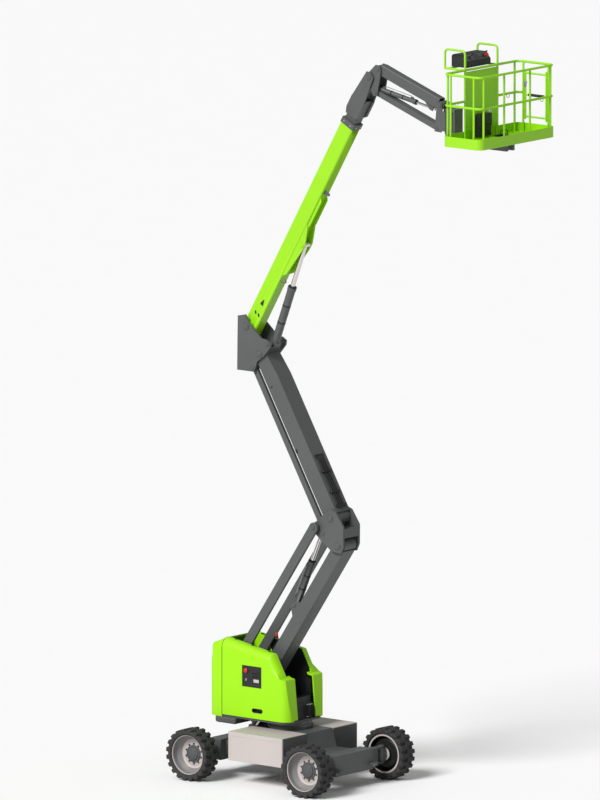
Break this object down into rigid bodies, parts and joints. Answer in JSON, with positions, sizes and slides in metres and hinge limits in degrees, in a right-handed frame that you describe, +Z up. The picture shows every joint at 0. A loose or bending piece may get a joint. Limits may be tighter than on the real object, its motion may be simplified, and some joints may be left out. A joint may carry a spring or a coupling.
{
  "type": "articulating boom lift",
  "caption": "Self-propelled articulating boom lift with lug tyres, slewing turret, folding twin riser, telescopic boom, jib and a railed work platform.",
  "frame": {"origin": "on the ground under the slewing axis, midway between the axles", "axes": "+X towards the steered end and the platform, +Y to the machine's left, +Z up"},
  "size_m": [5.9227, 2.26, 11.5952],
  "materials": {
    "lime_paint": "gloss lime enamel",
    "lime_cover": "gloss lime moulded cover",
    "dark_grey_paint": "satin dark grey enamel",
    "pale_grey_paint": "satin pale grey enamel",
    "black_paint": "satin black enamel",
    "control_plastic": "moulded black",
    "beacon_lens": "moulded lens",
    "piston_rod_chrome": "hard chrome",
    "cast_counterweight": "painted casting",
    "tyre": "moulded rubber"
  },
  "bodies": {
    "chassis": {"chassis_frame": "dark_grey_paint", "front_axle": "dark_grey_paint", "rear_axle": "dark_grey_paint", "battery_box_left": "pale_grey_paint", "battery_box_right": "pale_grey_paint", "slew_ring": "dark_grey_paint"},
    "left_knuckle": {"steer_knuckle_left": "dark_grey_paint"},
    "right_knuckle": {"steer_knuckle_right": "dark_grey_paint"},
    "track_rod": {"tie_rod": "dark_grey_paint"},
    "front_left_wheel": {"tyre_front_left": "tyre", "rim_front_left": "pale_grey_paint"},
    "front_right_wheel": {"tyre_front_right": "tyre", "rim_front_right": "pale_grey_paint"},
    "rear_left_wheel": {"tyre_rear_left": "tyre", "rim_rear_left": "pale_grey_paint"},
    "rear_right_wheel": {"tyre_rear_right": "tyre", "rim_rear_right": "pale_grey_paint"},
    "turret": {"turret_frame": "dark_grey_paint", "inner_panels": "black_paint", "turret_equipment": "black_paint", "counterweight": "cast_counterweight", "tail_cover": "lime_cover", "beacon": "beacon_lens"},
    "left_hood": {"hood_left": "lime_cover"},
    "right_hood": {"hood_right": "lime_cover", "ground_controls": "control_plastic"},
    "lower_riser": {"lower_riser": "dark_grey_paint"},
    "lower_links": {"lower_links": "dark_grey_paint"},
    "mid_knuckle": {"mid_knuckle": "dark_grey_paint"},
    "upper_riser": {"upper_riser": "dark_grey_paint"},
    "upper_links": {"upper_links": "dark_grey_paint"},
    "top_knuckle": {"top_knuckle": "dark_grey_paint"},
    "riser_barrel": {"riser_barrel": "dark_grey_paint"},
    "riser_rod": {"riser_rod": "piston_rod_chrome"},
    "main_boom": {"main_boom": "lime_paint", "boom_collar": "dark_grey_paint"},
    "lift_barrel": {"lift_barrel": "dark_grey_paint"},
    "lift_rod": {"lift_rod": "piston_rod_chrome"},
    "fly_boom": {"fly_boom": "dark_grey_paint"},
    "jib_knuckle": {"jib_knuckle": "dark_grey_paint"},
    "jib_arm": {"jib_arm": "dark_grey_paint"},
    "jib_bars": {"jib_bars": "dark_grey_paint"},
    "jib_end": {"jib_end": "dark_grey_paint"},
    "jib_barrel": {"jib_barrel": "dark_grey_paint"},
    "jib_rod": {"jib_rod": "piston_rod_chrome"},
    "platform": {"platform_support": "dark_grey_paint", "platform_deck": "lime_paint", "rail_front": "lime_paint", "rail_rear": "lime_paint", "rail_side_right": "lime_paint", "rail_side_left": "lime_paint", "rear_panel": "lime_paint", "control_console": "control_plastic"},
    "gate": {"entry_gate": "lime_paint"}
  },
  "joints": [
    {"name": "steer_left", "type": "hinge", "parent": "chassis", "child": "left_knuckle", "pos_m": [1.125, 0.8, 0.4], "axis": [0, 0, 1], "range_deg": [-33, 33]},
    {"name": "steer_right", "type": "hinge", "parent": "chassis", "child": "right_knuckle", "pos_m": [1.125, -0.8, 0.4], "axis": [0, 0, 1], "range_deg": [-34, 34]},
    {"name": "track_rod_slide", "type": "slide", "parent": "chassis", "child": "track_rod", "axis": [0, -1, 0], "range_m": [-0.12, 0.12]},
    {"name": "front_left_spin", "type": "hinge", "parent": "left_knuckle", "child": "front_left_wheel", "pos_m": [1.125, 0.98, 0.4], "axis": [0, 1, 0], "continuous": true},
    {"name": "front_right_spin", "type": "hinge", "parent": "right_knuckle", "child": "front_right_wheel", "pos_m": [1.125, -0.98, 0.4], "axis": [0, 1, 0], "continuous": true},
    {"name": "rear_left_spin", "type": "hinge", "parent": "chassis", "child": "rear_left_wheel", "pos_m": [-1.125, 0.98, 0.4], "axis": [0, 1, 0], "continuous": true},
    {"name": "rear_right_spin", "type": "hinge", "parent": "chassis", "child": "rear_right_wheel", "pos_m": [-1.125, -0.98, 0.4], "axis": [0, 1, 0], "continuous": true},
    {"name": "turret_slew", "type": "hinge", "parent": "chassis", "child": "turret", "pos_m": [0, 0, 0.9], "axis": [0, 0, 1], "range_deg": [-177.5, 177.5]},
    {"name": "hood_left_lift", "type": "hinge", "parent": "turret", "child": "left_hood", "pos_m": [-0.94, 0.303, 2.14], "axis": [0.9843, 0, -0.1765], "range_deg": [0, 60]},
    {"name": "hood_right_lift", "type": "hinge", "parent": "turret", "child": "right_hood", "pos_m": [-0.94, -0.303, 2.14], "axis": [-0.9843, 0, 0.1765], "range_deg": [0, 60]},
    {"name": "riser_lift", "type": "hinge", "parent": "turret", "child": "lower_riser", "pos_m": [-0.458, 0, 1.46], "axis": [0, -1, 0], "range_deg": [-51, 8]},
    {"name": "lower_link_turn", "type": "hinge", "parent": "turret", "child": "lower_links", "pos_m": [-0.868, 0, 1.71], "axis": [0, -1, 0], "range_deg": [-52, 9]},
    {"name": "mid_knuckle_level", "type": "hinge", "parent": "lower_riser", "child": "mid_knuckle", "pos_m": [1.07978, 0, 3.73985], "axis": [0, -1, 0], "range_deg": [-9, 52]},
    {"name": "upper_riser_turn", "type": "hinge", "parent": "mid_knuckle", "child": "upper_riser", "pos_m": [0.92978, 0, 4.14985], "axis": [0, -1, 0], "range_deg": [-9, 52]},
    {"name": "upper_link_turn", "type": "hinge", "parent": "mid_knuckle", "child": "upper_links", "pos_m": [0.78978, 0, 3.90985], "axis": [0, -1, 0], "range_deg": [-9, 52]},
    {"name": "top_knuckle_level", "type": "hinge", "parent": "upper_riser", "child": "top_knuckle", "pos_m": [-0.44522, 0, 6.53142], "axis": [0, -1, 0], "range_deg": [-52, 9]},
    {"name": "riser_barrel_turn", "type": "hinge", "parent": "lower_riser", "child": "riser_barrel", "pos_m": [0.12954, 0, 2.71019], "axis": [0, -1, 0], "range_deg": [-7.94, 2.09]},
    {"name": "riser_rod_slide", "type": "slide", "parent": "riser_barrel", "child": "riser_rod", "axis": [0.3889, 0, 0.9213], "range_m": [-0.398, 0.0709]},
    {"name": "boom_lift", "type": "hinge", "parent": "top_knuckle", "child": "main_boom", "pos_m": [-0.70322, 0, 6.92942], "axis": [0, -1, 0], "range_deg": [-60, 15]},
    {"name": "lift_rod_turn", "type": "hinge", "parent": "main_boom", "child": "lift_rod", "pos_m": [0.29499, 0, 8.25836], "axis": [0, -1, 0], "range_deg": [-8.2, 2.8]},
    {"name": "lift_barrel_slide", "type": "slide", "parent": "lift_rod", "child": "lift_barrel", "axis": [-0.3525, 0, -0.9358], "range_m": [-0.4418, 0.118]},
    {"name": "boom_extend", "type": "slide", "parent": "main_boom", "child": "fly_boom", "axis": [0.5, 0, 0.866], "range_m": [0, 2.8]},
    {"name": "jib_knuckle_level", "type": "hinge", "parent": "fly_boom", "child": "jib_knuckle", "pos_m": [1.61928, 0, 10.95211], "axis": [0, -1, 0], "range_deg": [-16, 61]},
    {"name": "jib_lift", "type": "hinge", "parent": "jib_knuckle", "child": "jib_arm", "pos_m": [1.76928, 0, 11.08711], "axis": [0, -1, 0], "range_deg": [-40, 70]},
    {"name": "jib_bar_turn", "type": "hinge", "parent": "jib_knuckle", "child": "jib_bars", "pos_m": [1.71928, 0, 10.72711], "axis": [0, -1, 0], "range_deg": [-41, 71]},
    {"name": "jib_end_level", "type": "hinge", "parent": "jib_arm", "child": "jib_end", "pos_m": [2.96269, 0, 10.65275], "axis": [0, -1, 0], "range_deg": [-71, 41]},
    {"name": "jib_rod_turn", "type": "hinge", "parent": "jib_arm", "child": "jib_rod", "pos_m": [2.76514, 0, 10.57779], "axis": [0, -1, 0], "range_deg": [-5.2, 3.4]},
    {"name": "jib_barrel_slide", "type": "slide", "parent": "jib_rod", "child": "jib_barrel", "axis": [-0.9813, 0, 0.1927], "range_m": [-0.1776, 0.3033]},
    {"name": "platform_turn", "type": "hinge", "parent": "jib_end", "child": "platform", "pos_m": [3.11269, 0, 10.29275], "axis": [0, 0, 1], "range_deg": [-80, 80]},
    {"name": "gate_swing", "type": "hinge", "parent": "platform", "child": "gate", "pos_m": [4.22869, 0.8876, 10.19775], "axis": [0, 0, 1], "range_deg": [0, 85]}
  ],
  "couplings": [
    {"joint": "steer_right", "follows": "steer_left", "ratio": 1},
    {"joint": "track_rod_slide", "follows": "steer_left", "m_per_rad": 0.185},
    {"joint": "lower_link_turn", "follows": "riser_lift", "ratio": 1},
    {"joint": "mid_knuckle_level", "follows": "riser_lift", "ratio": -1},
    {"joint": "upper_riser_turn", "follows": "riser_lift", "ratio": -1},
    {"joint": "upper_link_turn", "follows": "riser_lift", "ratio": -1},
    {"joint": "top_knuckle_level", "follows": "riser_lift", "ratio": 1},
    {"joint": "riser_barrel_turn", "follows": "riser_lift", "ratio": 0.13612},
    {"joint": "riser_rod_slide", "follows": "riser_lift", "m_per_rad": 0.43593},
    {"joint": "lift_rod_turn", "follows": "boom_lift", "ratio": 0.12},
    {"joint": "lift_barrel_slide", "follows": "boom_lift", "m_per_rad": 0.41237},
    {"joint": "jib_knuckle_level", "follows": "boom_lift", "ratio": -1},
    {"joint": "jib_bar_turn", "follows": "jib_lift", "ratio": 1},
    {"joint": "jib_end_level", "follows": "jib_lift", "ratio": -1},
    {"joint": "jib_rod_turn", "follows": "jib_lift", "ratio": -0.06},
    {"joint": "jib_barrel_slide", "follows": "jib_lift", "m_per_rad": 0.24008}
  ]
}
